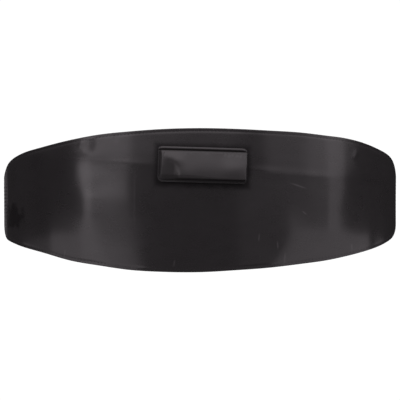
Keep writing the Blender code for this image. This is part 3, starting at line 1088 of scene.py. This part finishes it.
def rise_from_seam(distance, margin, width):
    """0 on the sewn margin, rising steeply from it and flat by the end of the rise."""
    share = np.clip((distance - margin) / width, 0, 1)
    return (1 - (1 - share) ** POUCH_ROUNDNESS) ** (1 / POUCH_ROUNDNESS)


def slack(across, up):
    """How far the slack corner has fallen in."""
    right, above = across - SLACK_ACROSS, up - SLACK_UP
    beyond = right * math.sin(SLACK_TURN) - above * math.cos(SLACK_TURN)
    fade = ease((SLACK_END - across) / SLACK_FADE)
    return SLACK_SLOPE * soft_ramp(beyond, SLACK_SOFTNESS) * fade


def pouch_room(across, up):
    """The room behind the front piece: most at the belly, less towards the mouth."""
    to_side = POCKET_HALF_WIDTH - abs(across)
    side = rise_from_seam(to_side, POCKET_SIDE_MARGIN, POUCH_SIDE_RISE)
    bottom_rise = POUCH_BOTTOM_RISE - BOTTOM_RISE_TILT * across
    bottom = rise_from_seam(up - pocket_bottom(across), POCKET_MARGIN, bottom_rise)
    closing = MOUTH_SLOPE * soft_ramp(up - BELLY, BELLY_SOFTNESS)
    return (POUCH_DEPTH - closing - slack(across, up)) * side * bottom


# %% The pouch's seam and folds
POUCH_FOLDS = (
    # the plump corners under the mouth
    Fold(-23, 4, -8, 26, 10, 0.45),
    Fold(24, -3, 6, 26, 16, 0.65),
    # small gathers along the mouth
    Fold(16.5, 9.6, 88, 5.5, 0.9, -0.36),
    Fold(19.2, 9.4, 92, 6.5, 1.1, -0.50),
    Fold(21.6, 9.6, 86, 5.0, 0.9, -0.40),
    Fold(24.3, 9.2, 94, 6.0, 1.1, -0.50),
    Fold(26.8, 9.0, 84, 6.5, 1.0, -0.42),
    Fold(29.0, 8.4, 100, 5.5, 0.9, -0.20),
    Fold(-28.5, 8.6, 78, 6.0, 1.0, -0.20),
    Fold(-18.5, 9.8, 96, 4.5, 0.9, -0.18),
    Fold(-13.5, 9.6, 84, 5.5, 1.0, -0.20),
    Fold(-9.0, 9.9, 90, 4.0, 0.9, -0.16),
    Fold(3.5, 9.8, 92, 4.5, 1.0, -0.15),
)
SAG_ASIDE = 1.9 * MM
SAG_ASIDE_ABOVE = 0.7 * MM
SAG_ABOVE_START = -4 * MM
SAG_ABOVE_FADE = 6 * MM
SAG_DOWN = 1.7 * MM
SAG_DOWN_START = -14 * MM
SAG_DOWN_FADE = 30 * MM
SAG_REACH = 14 * MM
POUCH_SWELL_SIZE = 12 * MM
POUCH_SWELL_DEPTH = 0.16 * MM
RELIEF_FADE = 3 * MM  # the relief fades out this far from the margin
POCKET_SEAM_INSET = 0.8 * MM
POCKET_GROOVE_DEPTH = 0.08 * MM
POCKET_GROOVE_HALF_WIDTH = 0.5 * MM
MOUTH_ROLL = 0.35 * MM
MOUTH_ROLL_WIDTH = 1.6 * MM


def pocket_sides(inset, top):
    """The line down the left side, along the bottom and up the right, this far inside the edge."""
    turns = np.linspace(0, math.pi / 2, 16)
    corner = POCKET_CORNER - inset
    width = POCKET_HALF_WIDTH - inset
    low = POCKET_HALF_HEIGHT - inset
    corner_across = width - corner * (1 - np.cos(turns))
    corner_up = -low + corner * (1 - np.sin(turns))
    sides = np.linspace(top, corner_up[0], 60)[:-1]
    bottom = np.linspace(-corner_across[-1], corner_across[-1], 160)[1:-1]
    across = [np.full_like(sides, -width), -corner_across, bottom, corner_across[::-1]]
    up = [sides, corner_up, np.full_like(bottom, -low), corner_up[::-1]]
    across.append(np.full_like(sides, width))
    up.append(sides[::-1])
    return np.stack([np.concatenate(across), np.concatenate(up)], axis=1)


pocket_edge_line = pocket_sides(0, POCKET_HALF_HEIGHT)
pocket_seam_line = pocket_sides(POCKET_SEAM_INSET, POCKET_MOUTH - POCKET_SEAM_INSET)


def near_seam(distance, rise):
    """1 where the belly has risen from a seam this far away, and 0 at the seam and further in."""
    return ease(distance / rise) * (1 - ease(distance / SAG_REACH))


def sag_aside(across, up):
    """How far the belly leans towards its right seam, a little more above its middle."""
    lean_right = SAG_ASIDE + SAG_ASIDE_ABOVE * ease((up - SAG_ABOVE_START) / SAG_ABOVE_FADE)
    return lean_right * near_seam(POCKET_HALF_WIDTH - across - POCKET_SIDE_MARGIN, POUCH_SIDE_RISE)


def sag_down(across, up):
    """How far the belly hangs over its bottom seam, from the middle to the right."""
    to_right = ease((across - SAG_DOWN_START) / SAG_DOWN_FADE)
    above_seam = up - pocket_bottom(across) - POCKET_MARGIN
    return SAG_DOWN * to_right * near_seam(above_seam, POUCH_BOTTOM_RISE)


def pocket_lift(across, up):
    """The relief of the pouch's front piece over the room behind it."""
    to_edge = distance_to(pocket_edge_line, across, up)
    groove = np.exp(-(((to_edge - POCKET_SEAM_INSET) / POCKET_GROOVE_HALF_WIDTH) ** 2))
    inside = ease((to_edge - POCKET_MARGIN) / RELIEF_FADE)
    roll = MOUTH_ROLL * (1 - ease((POCKET_MOUTH - up) / MOUTH_ROLL_WIDTH)) ** 2
    relief = (folded(POUCH_FOLDS, across, up) - roll) * inside
    swells = uneven(across, up, POUCH_SWELL_SIZE, POUCH_SWELL_DEPTH) * inside
    return POCKET_FRONT_LIFT + pouch_room(across, up) + relief + swells - POCKET_GROOVE_DEPTH * groove


def pouch_face(across, up):
    places = across + sag_aside(across, up), up - sag_down(across, up)
    return on_pocket(*places, pocket_lift(across, up))


# %% The lip above the mouth
LIP_CORNER = 4.5 * MM
LIP_CORNER_DROP = 2.2 * MM
LIP_LEFT_DROP = 1.1 * MM
LIP_REACH = 3.0 * MM
LIP_ROLL = 1.2 * MM
LIP_RISE = 0.60 * MM
LIP_FALL = 0.15 * MM


def lip_edge(across):
    """The back piece's top edge, which is rounded off at its ends, more at the right one."""
    share = corner_share(across, POCKET_HALF_WIDTH, LIP_CORNER)
    drop = np.where(across > 0, LIP_CORNER_DROP, LIP_LEFT_DROP)
    return POCKET_HALF_HEIGHT - drop * (1 - share)


def lip_face(across, up):
    """The back piece lies flat but for its top edge, which is turned out into a thin lip."""
    below_edge = lip_edge(across) - up
    out = LIP_RISE * ease((LIP_REACH - below_edge) / (LIP_REACH - LIP_ROLL))
    over = LIP_FALL * (1 - ease(below_edge / LIP_ROLL))
    return on_pocket(across, up, POCKET_BACK_LIFT + out - over)


# %% Make the pouch
POCKET_EDGE_STEP = 0.3 * MM
POCKET_EDGE_REACH = 8 * MM
POCKET_ROUNDING = 0.2 * MM


def pocket_piece(name, top, face, step, rows):
    share = spaced(2 * POCKET_HALF_WIDTH, POCKET_EDGE_REACH, POCKET_EDGE_STEP, step)
    across = (2 * share - 1) * POCKET_HALF_WIDTH
    bottom = pocket_bottom(across)
    up = bottom[:, None] + (top(across) - bottom)[:, None] * rows[None, :]
    across = np.broadcast_to(across[:, None], up.shape)
    points = face(across, up)
    cut = np.stack([across, up], axis=-1)
    finishes = [pocket_leather, flesh, edge_paint]
    return lay_sheet(name, points, cut, POCKET_LEATHER, finishes, round_edge=POCKET_ROUNDING)


def mouth_edge(across):
    return np.full_like(across, POCKET_MOUTH)


back_rows = spaced(2 * POCKET_HALF_HEIGHT, 4 * MM, POCKET_EDGE_STEP, 1.5 * MM)
front_rows = spaced(2 * POCKET_HALF_HEIGHT, POCKET_EDGE_REACH, POCKET_EDGE_STEP, 0.5 * MM)
pouch_back = pocket_piece("pouch_back", lip_edge, lip_face, 1.0 * MM, back_rows)
pouch_front = pocket_piece("pouch_front", mouth_edge, pouch_face, 0.6 * MM, front_rows)
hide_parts("pocket_back")
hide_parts("pocket_front")
print("pouch:", triangles(pouch_back), "and", triangles(pouch_front), "triangles")

# %% Sew the pouch
POCKET_PITCH = 2.5 * MM

pouch_seam = sew("pouch_stitching", [(pocket_seam_line, pouch_face, POCKET_PITCH, 1)])

# %% [markdown]
# ## The elastic straps
#
# The photograph shows nothing behind the band's ends, so the straps are the plainest that it must
# have: woven elastic as wide as the ends, sewn inside them, and folded round the clasp. Such
# webbing has raised ribs along it, one over each rubber thread, and fine picks of yarn across them.
# The ribs are in the mesh, and the picks in the finish.

# %% Sizes of the straps and the clasp
STRAP_HEIGHT = 35 * MM
STRAP_THICKNESS = 1.5 * MM
STRAP_UNDER_PANEL = 28 * MM
STRAP_FOLD_EASE = 9 * MM
STRAP_FOLD_LENGTH = 26 * MM
WIRE_RADIUS = 1.3 * MM
BAR_FROM_CENTRE = 15.6 * MM
STRAP_LIFT = -(PANEL_THICKNESS + GAP + STRAP_THICKNESS / 2)
STRAP_WRAP = WIRE_RADIUS + GAP + STRAP_THICKNESS / 2
BAR_LIFT = STRAP_LIFT - STRAP_WRAP
RIB_PITCH = 1.25 * MM
RIB_DEPTH = 0.12 * MM
RIB_FADE = 1.2 * MM  # the ribs die out this near the webbing's edges
PICK_PITCH = 0.8 * MM


# %% The elastic's finish
def elastic_finish():
    """Black polyester yarn woven over rubber."""
    finish = Finish("woven_elastic", Specular_IOR_Level=0.3, Sheen_Weight=0.2, Sheen_Roughness=0.4)
    place = finish.node("ShaderNodeUVMap", {"uv_map": CUT_MAP}, {})
    parts = finish.node("ShaderNodeSeparateXYZ", {}, {"Vector": place})
    along, over = parts, parts.other("Y")
    rib_turn = over * (2 * math.pi / RIB_PITCH)
    ribs = finish.math("COSINE", rib_turn)
    picks = finish.math("SINE", along * (2 * math.pi / PICK_PITCH) + ribs * 0.9)
    yarn = finish.noise(place, 0.22 * MM, 2.0, stretch=(3, 1, 1))
    worn = finish.noise(place, 9 * MM, 3.0, stretch=(3, 1, 1))
    height = picks * 0.5 + yarn * 0.5
    # painted shade: the colour is darker in the troughs between ribs and picks, and varies at random
    # with wear
    tone_and_painted_shade = height * 0.3 + ribs * 0.2 + worn * 0.4 + 0.2
    finish.feed(
        Base_Color=finish.mix(tone_and_painted_shade, (0.012, 0.012, 0.013, 1), (0.05, 0.049, 0.051, 1)),
        Roughness=0.72 + yarn * 0.2,
        Normal=finish.raised(height, 0.10 * MM),
    )
    return finish.material


elastic = elastic_finish()


# %% Make the straps
def strap_route():
    """Arcs and lifts along a strap's middle: from its sewn end to the bar, round it and back."""
    bar_arc = BACK_ARC - BAR_FROM_CENTRE
    sewn_end = PANEL_HALF_LENGTH - STRAP_UNDER_PANEL
    outside = np.linspace(sewn_end, bar_arc, 150)
    turns = np.linspace(0, math.pi, 17)[1:]
    shares = np.linspace(0, 1, 13)[1:]
    folded_back = np.linspace(bar_arc - STRAP_FOLD_EASE, bar_arc - STRAP_FOLD_LENGTH, 12)[1:]
    inside_lift = BAR_LIFT - STRAP_WRAP
    folded_lift = STRAP_LIFT - STRAP_THICKNESS - GAP
    arcs = np.concatenate([
        outside,
        bar_arc + STRAP_WRAP * np.sin(turns),
        bar_arc - STRAP_FOLD_EASE * shares,
        folded_back,
    ])
    lifts = np.concatenate([
        np.full_like(outside, STRAP_LIFT),
        BAR_LIFT + STRAP_WRAP * np.cos(turns),
        inside_lift + (folded_lift - inside_lift) * ease(shares),
        np.full_like(folded_back, folded_lift),
    ])
    return arcs, lifts


def make_strap(name, side):
    """side is 1 for the right strap and -1 for the left."""
    arcs, lifts = strap_route()
    rib_count = int(STRAP_HEIGHT / RIB_PITCH)
    heights = np.linspace(-STRAP_HEIGHT / 2, STRAP_HEIGHT / 2, 4 * rib_count + 1)
    ribs = RIB_DEPTH / 2 * np.cos(2 * math.pi * heights / RIB_PITCH)
    ribs *= ease((STRAP_HEIGHT / 2 - abs(heights)) / RIB_FADE)
    slope = np.stack([np.gradient(arcs), np.gradient(lifts)])
    slope /= np.linalg.norm(slope, axis=0)
    route_arcs = arcs[:, None] - slope[1][:, None] * ribs[None, :]
    route_lifts = lifts[:, None] + slope[0][:, None] * ribs[None, :]
    all_heights = np.broadcast_to(heights[None, :], route_arcs.shape)
    points = on_waist(side * route_arcs, all_heights, route_lifts)
    steps = np.hypot(np.diff(arcs), np.diff(lifts))
    reached = np.concatenate([[0], np.cumsum(steps)])
    cut = np.stack([np.broadcast_to(reached[:, None], all_heights.shape), all_heights], axis=-1)
    strap = lay_sheet(name, points, cut, STRAP_THICKNESS, [elastic] * 3, offset=0.0)
    print(name + ":", triangles(strap), "triangles, cut %.0f mm long" % (reached[-1] / MM))
    return strap, float(reached[-1])


loop_strap, strap_length = make_strap("elastic_strap_left", -1)
hook_strap, _ = make_strap("elastic_strap_right", 1)
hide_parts("strap_loop_side")
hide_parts("strap_hook_side")

# %% [markdown]
# ## The clasp
#
# Each strap ends round a bar. On the left it is one side of a wire loop, and on the right the edge
# of a flat metal hook, whose tongue goes over the loop's far side and curls round it. Both are
# modelled flat, x being how far they lie from the back's centre, y their height and z how far they
# stand out, and then bent to the waist like everything else.

# %% Sizes of the clasp
CATCH_FROM_CENTRE = 3 * MM
LOOP_HALF_HEIGHT = 20 * MM
LOOP_CORNER = 2.5 * MM
HOOK_SHEET = 1.6 * MM
HOOK_HALF_HEIGHT = 21 * MM
TONGUE_HALF_HEIGHT = 9 * MM
SLOT_HALF_HEIGHT = 18.2 * MM
SLOT_WIDTH = 3 * MM
HOOK_BAR_WIDTH = 3 * MM
HOOK_BAR_OUTER = 2 * MM
HOOK_WEB = 1.2 * MM
HOOK_RAMP = 4.5 * MM
HOOK_TIP = 4 * MM
HOOK_TIP_SHARE = 0.8
HOOK_CORNER = 2.5 * MM
HOOK_EDGE = 0.35 * MM
CATCH_CLEARANCE = 0.4 * MM
HOOK_CURL = WIRE_RADIUS + CATCH_CLEARANCE + HOOK_SHEET / 2


# %% Black-plated metal
def plated_metal():
    """Steel with a black nickel plating, a little cloudy and hair-scratched."""
    finish = Finish("plated_metal", Metallic=1.0)
    place = finish.node("ShaderNodeTexCoord", {}, {}, output="Object")
    cloudy = finish.noise(place, 5 * MM, 3.0)
    scratches = finish.noise(place, 0.5 * MM, 2.0, stretch=(1, 1, 14))
    finish.feed(
        Base_Color=finish.mix(cloudy, (0.075, 0.075, 0.08, 1), (0.16, 0.16, 0.165, 1)),
        Roughness=0.16 + cloudy * 0.1 + scratches * 0.08,
        Normal=finish.raised(scratches, 0.006 * MM),
    )
    return finish.material


metal = plated_metal()


# %% Bend a flat clasp piece to the waist
def bend_to_waist(piece, name, node):
    """Takes a flat clasp piece to its place on the waist and gives it its finish."""
    piece.name = name
    mesh = piece.data
    mesh.name = name
    flat = np.zeros(len(mesh.vertices) * 3, np.float32)
    mesh.vertices.foreach_get("co", flat)
    flat = flat.reshape(-1, 3)
    placed = on_waist(BACK_ARC - flat[:, 0], flat[:, 1], BAR_LIFT + flat[:, 2])
    mesh.vertices.foreach_set("co", placed.astype(np.float32).ravel())
    mesh.materials.clear()
    mesh.materials.append(metal)
    bpy.ops.object.select_all(action="DESELECT")
    piece.select_set(True)
    bpy.context.view_layer.objects.active = piece
    bpy.ops.object.mode_set(mode="EDIT")
    bpy.ops.mesh.select_all(action="SELECT")
    bpy.ops.mesh.normals_make_consistent(inside=False)
    bpy.ops.object.mode_set(mode="OBJECT")
    bpy.ops.object.shade_smooth_by_angle(angle=math.radians(40))
    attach(piece, "root")
    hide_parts(node)
    print(name + ":", triangles(piece), "triangles")


# %% Make the loop
def flat_plane(low_x, high_x, half_height):
    """A flat rectangle, left in edit mode."""
    bpy.ops.object.select_all(action="DESELECT")
    bpy.ops.mesh.primitive_plane_add(size=1, location=((low_x + high_x) / 2, 0, 0))
    plane = bpy.context.object
    plane.scale = (high_x - low_x, 2 * half_height, 1)
    bpy.ops.object.transform_apply()
    bpy.ops.object.mode_set(mode="EDIT")
    return plane


def make_loop():
    """A rectangle with rounded corners, whose outline is made a round wire."""
    loop = flat_plane(-BAR_FROM_CENTRE, -CATCH_FROM_CENTRE, LOOP_HALF_HEIGHT)
    bpy.ops.mesh.select_all(action="SELECT")
    bpy.ops.mesh.bevel(offset=LOOP_CORNER, segments=6, affect="VERTICES")
    bpy.ops.mesh.select_all(action="SELECT")
    bpy.ops.mesh.delete(type="ONLY_FACE")
    bpy.ops.object.mode_set(mode="OBJECT")
    bpy.ops.object.convert(target="CURVE")
    loop = bpy.context.object
    loop.data.bevel_depth = WIRE_RADIUS
    loop.data.bevel_resolution = 4
    bpy.ops.object.convert(target="MESH")
    return bpy.context.object


# %% Make the hook
def pick(mesh_object, chosen):
    """Selects the vertices for which chosen(place) holds, in edit mode."""
    bpy.ops.mesh.select_all(action="DESELECT")
    edited = bmesh.from_edit_mesh(mesh_object.data)
    for vertex in edited.verts:
        vertex.select = bool(chosen(vertex.co))
    edited.select_flush(True)
    bmesh.update_edit_mesh(mesh_object.data)


def slotted_plate():
    """The hook's plate, left in edit mode with its inner edge selected, and where that edge is."""
    bar_edge = BAR_FROM_CENTRE + HOOK_BAR_OUTER
    slot_far = bar_edge - HOOK_BAR_WIDTH
    slot_near = slot_far - SLOT_WIDTH
    plate_end = slot_near - HOOK_WEB
    plate = flat_plane(plate_end, bar_edge, HOOK_HALF_HEIGHT)
    tiny = 0.01 * MM
    pick(plate, lambda co: co.x > bar_edge - tiny)
    bpy.ops.mesh.bevel(offset=HOOK_CORNER, segments=5, affect="VERTICES")
    cuts = [((x, 0, 0), (1, 0, 0)) for x in (slot_far, slot_near)]
    cuts += [((0, y, 0), (0, 1, 0)) for y in (-SLOT_HALF_HEIGHT, SLOT_HALF_HEIGHT)]
    for place, across in cuts:
        bpy.ops.mesh.select_all(action="SELECT")
        bpy.ops.mesh.bisect(plane_co=place, plane_no=across)
    in_slot = SLOT_HALF_HEIGHT + tiny
    pick(plate, lambda co: slot_near - tiny < co.x < slot_far + tiny and abs(co.y) < in_slot)
    bpy.ops.mesh.delete(type="ONLY_FACE")
    pick(plate, lambda co: abs(co.x - plate_end) < tiny)
    return plate, plate_end


def draw_out_tongue(plate_end):
    """Extrudes the plate's inner edge: narrowing up a ramp, over the loop and round its side."""
    narrowing = TONGUE_HALF_HEIGHT - HOOK_HALF_HEIGHT
    reached, share_before = HOOK_HALF_HEIGHT, 0.0
    for share in np.linspace(0, 1, 7)[1:]:
        half_height = HOOK_HALF_HEIGHT + narrowing * float(ease(share))
        rise = HOOK_CURL * float(ease(share) - ease(share_before))
        step = (-HOOK_RAMP * (share - share_before), 0, rise)
        bpy.ops.mesh.extrude_region_move(TRANSFORM_OT_translate={"value": step})
        bpy.ops.transform.resize(value=(1, half_height / reached, 1), center_override=(0, 0, 0))
        reached, share_before = half_height, share
    ramp_end = plate_end - HOOK_RAMP
    for step in (-ramp_end, -CATCH_FROM_CENTRE):
        bpy.ops.mesh.extrude_region_move(TRANSFORM_OT_translate={"value": (step, 0, 0)})
    bpy.ops.mesh.spin(
        steps=10, angle=-math.pi, center=(-CATCH_FROM_CENTRE, 0, 0), axis=(0, 1, 0)
    )
    bpy.ops.mesh.extrude_region_move(TRANSFORM_OT_translate={"value": (HOOK_TIP, 0, 0)})
    bpy.ops.transform.resize(value=(1, HOOK_TIP_SHARE, 1), center_override=(0, 0, 0))


def make_hook():
    """A slotted plate, whose tongue is then drawn out of it, made a sheet with rounded edges."""
    hook, plate_end = slotted_plate()
    draw_out_tongue(plate_end)
    bpy.ops.object.mode_set(mode="OBJECT")
    wall = {"thickness": HOOK_SHEET, "offset": 0.0, "use_even_offset": True}
    edge = {"width": HOOK_EDGE, "segments": 3, "limit_method": "ANGLE", "angle_limit": 0.7}
    for kind, settings in (("SOLIDIFY", wall), ("BEVEL", edge)):
        modifier = hook.modifiers.new(kind.lower(), kind)
        for setting, value in settings.items():
            setattr(modifier, setting, value)
        bpy.ops.object.modifier_apply(modifier=modifier.name)
    return hook


bend_to_waist(make_loop(), "loop_of_wire", "clasp_loop")
bend_to_waist(make_hook(), "hook_plate", "clasp_hook")

# %% [markdown]
# ## Sewing on the straps
#
# Each strap is held under the end of the leather by a sewn box with a cross in it, which shows on
# both faces. The end that is folded round the clasp is held by two rows across.

# %% Sew the straps
BOX_START = 189 * MM
BOX_END = 200 * MM
BOX_HALF_HEIGHT = 14.5 * MM
FOLD_ROWS = (12 * MM, 22 * MM)  # from the bar
STRAP_PITCH = 3.0 * MM
STRAP_OUTER_FACE = STRAP_LIFT + (STRAP_THICKNESS + RIB_DEPTH) / 2
STRAP_INNER_FACE = STRAP_LIFT - (STRAP_THICKNESS + RIB_DEPTH) / 2
FOLD_INNER_FACE = STRAP_INNER_FACE - GAP - STRAP_THICKNESS


def face_at(lift):
    return lambda arc, height: on_waist(arc, height, np.full_like(arc, lift))


def box_lines(side):
    """The box's outline and the cross in it."""
    near, far, high = side * BOX_START, side * BOX_END, BOX_HALF_HEIGHT
    corners = [(near, -high), (far, -high), (far, high), (near, high)]
    lines = list(zip(corners, corners[1:] + corners[:1]))
    lines += [(corners[0], corners[2]), (corners[1], corners[3])]
    return [np.array(line) for line in lines]


def strap_seams(side):
    seams = []
    for line in box_lines(side):
        seams.append((line, front_face, STRAP_PITCH, 1))
        seams.append((line, face_at(STRAP_INNER_FACE), STRAP_PITCH, -1))
    for row in FOLD_ROWS:
        arc = side * (BACK_ARC - BAR_FROM_CENTRE - row)
        line = np.array([(arc, -BOX_HALF_HEIGHT), (arc, BOX_HALF_HEIGHT)])
        seams.append((line, face_at(STRAP_OUTER_FACE), STRAP_PITCH, 1))
        seams.append((line, face_at(FOLD_INNER_FACE), STRAP_PITCH, -1))
    return seams


left_seams = sew("strap_stitching_left", strap_seams(-1))
right_seams = sew("strap_stitching_right", strap_seams(1))
bpy.data.objects.remove(stitch)

# %% [markdown]
# ## The sheets as they were cut
#
# The leather pieces were cut flat to the sizes they are drawn at, and the elastic is cut to the
# length of its route.

# %% Say what each sheet was cut to
arcs = np.linspace(-PANEL_HALF_LENGTH, PANEL_HALF_LENGTH, 2001)
low, high = panel_edges(arcs)
front_area = float(np.mean(high - low) * 2 * PANEL_HALF_LENGTH)
front_flat = (2 * PANEL_HALF_LENGTH, float(high.max() - low.min()))
across = np.linspace(-POCKET_HALF_WIDTH, POCKET_HALF_WIDTH, 2001)
back_area = float(np.mean(lip_edge(across) - pocket_bottom(across)) * 2 * POCKET_HALF_WIDTH)


def surface_length(face, start, end):
    """How long a straight line on the flat drawing is along the piece's surface."""
    share = np.linspace(0, 1, 400)[:, None]
    line = np.array(start) * (1 - share) + np.array(end) * share
    return float(np.linalg.norm(np.diff(face(*line.T), axis=0), axis=1).sum())


pouch_flat = (
    surface_length(pouch_face, (-POCKET_HALF_WIDTH, 0), (POCKET_HALF_WIDTH, 0)),
    surface_length(pouch_face, (0, -POCKET_HALF_HEIGHT), (0, POCKET_MOUTH)),
)
strap_flat = (STRAP_HEIGHT, strap_length)

for label, flat in (("front", front_flat), ("pouch", pouch_flat), ("strap", strap_flat)):
    print(label, "cut: %.0f x %.0f mm" % tuple(side / MM for side in flat))
